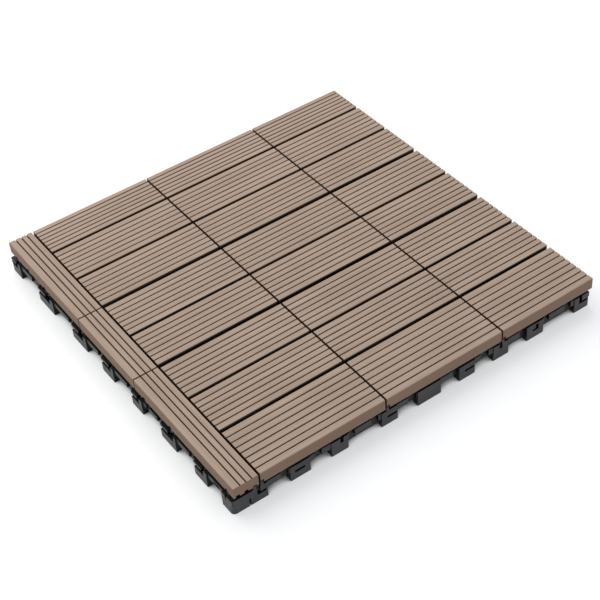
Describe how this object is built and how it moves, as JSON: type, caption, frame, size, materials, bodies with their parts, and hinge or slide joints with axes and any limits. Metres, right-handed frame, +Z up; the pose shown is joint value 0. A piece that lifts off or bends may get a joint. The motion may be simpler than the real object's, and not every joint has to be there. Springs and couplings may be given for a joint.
{
  "type": "interlocking deck tile",
  "caption": "Square outdoor deck tile with grooved taupe composite slats screwed to a black moulded base grid that hooks into the next tile",
  "frame": {"origin": "on the floor under the middle of the slat field, at the centre of the middle pad's foot", "axes": "X runs along the front edge from left to right, Y from the front edge to the back edge, Z up from the floor to the walking surface"},
  "size_m": [0.3046, 0.3056, 0.025],
  "materials": {
    "composite_slat": "matte taupe-brown wood-plastic composite, brushed along its length, with ribbed grooves",
    "base_plastic": "matte charcoal-black injection-moulded polypropylene",
    "screw_steel": "dull zinc-plated steel"
  },
  "bodies": {
    "root": {"slat_row_8_left": "composite_slat", "slat_row_8_middle": "composite_slat", "slat_row_8_right": "composite_slat", "slat_row_7_left": "composite_slat", "slat_row_7_middle": "composite_slat", "slat_row_7_right": "composite_slat", "slat_row_6_left": "composite_slat", "slat_row_6_middle": "composite_slat", "slat_row_6_right": "composite_slat", "slat_row_5_left": "composite_slat", "slat_row_5_middle": "composite_slat", "slat_row_5_right": "composite_slat", "slat_row_4_left": "composite_slat", "slat_row_4_middle": "composite_slat", "slat_row_4_right": "composite_slat", "slat_row_3_left": "composite_slat", "slat_row_3_middle": "composite_slat", "slat_row_3_right": "composite_slat", "slat_row_2_left": "composite_slat", "slat_row_2_middle": "composite_slat", "slat_row_2_right": "composite_slat", "slat_row_1_left": "composite_slat", "slat_row_1_middle": "composite_slat", "slat_row_1_right": "composite_slat", "border_slat_front": "composite_slat", "border_slat_middle": "composite_slat", "border_slat_back": "composite_slat", "base_grid": "base_plastic", "base_screws": "screw_steel"}
  },
  "joints": []
}
